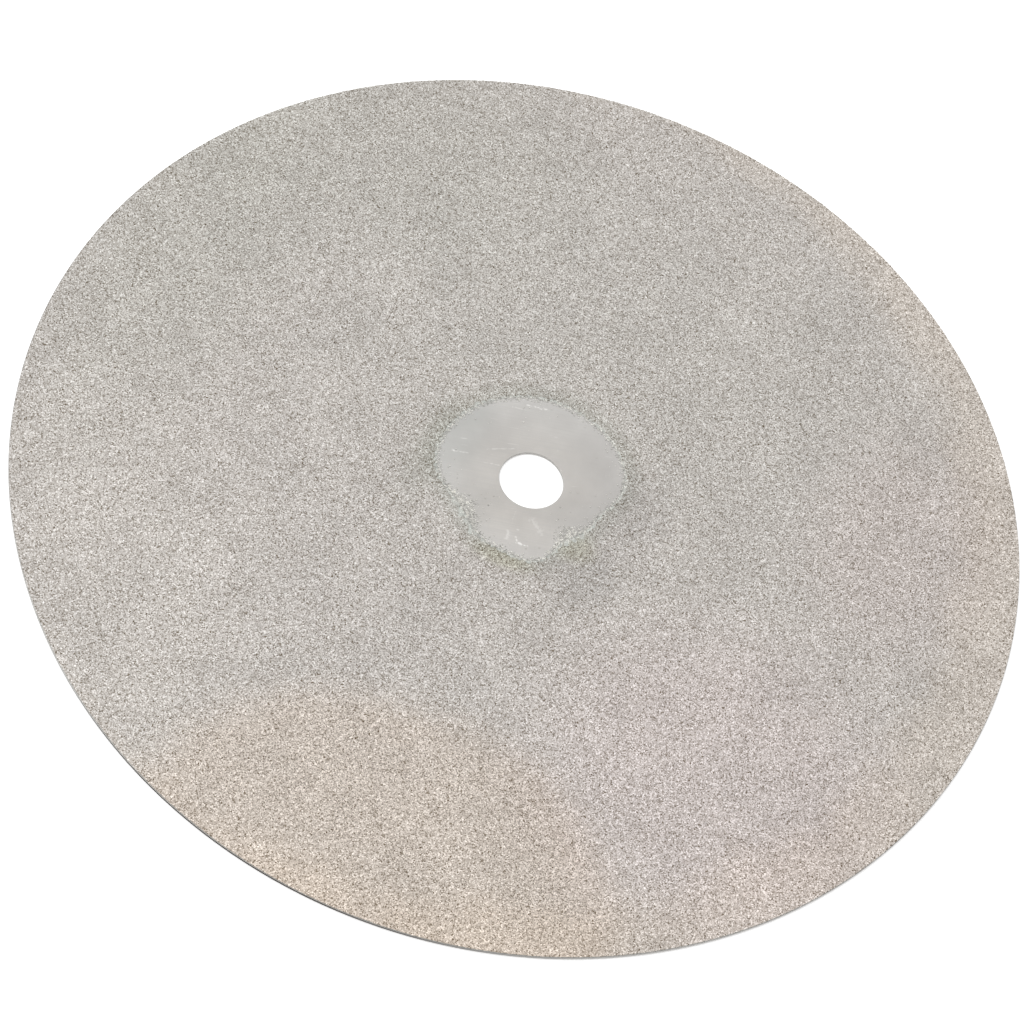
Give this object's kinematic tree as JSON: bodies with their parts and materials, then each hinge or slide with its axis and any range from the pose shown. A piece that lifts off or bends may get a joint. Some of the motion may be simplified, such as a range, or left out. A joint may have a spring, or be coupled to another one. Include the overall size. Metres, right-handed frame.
{
  "type": "diamond grinding wheel",
  "caption": "Thin flat steel disc with a plain arbor hole, its top face plated with nickel-bonded diamond grit except for a bare patch round the hole.",
  "frame": {"origin": "centre of the arbor hole at the wheel's back face", "axes": "+Z along the arbor hole, out of the grit face; -Y towards the flattened side of the bare patch"},
  "size_m": [0.2, 0.2, 0.0008],
  "materials": {
    "bare_steel": "satin, finely scratched, with a dark punched edge",
    "plated_nickel": "matt electroplated nickel",
    "nickel_coated_grit": "coarse glittering grit half sunk in nickel"
  },
  "bodies": {
    "root": {"steel_plate": "bare_steel", "nickel_bond": "plated_nickel", "diamond_grit": "nickel_coated_grit"}
  },
  "joints": []
}
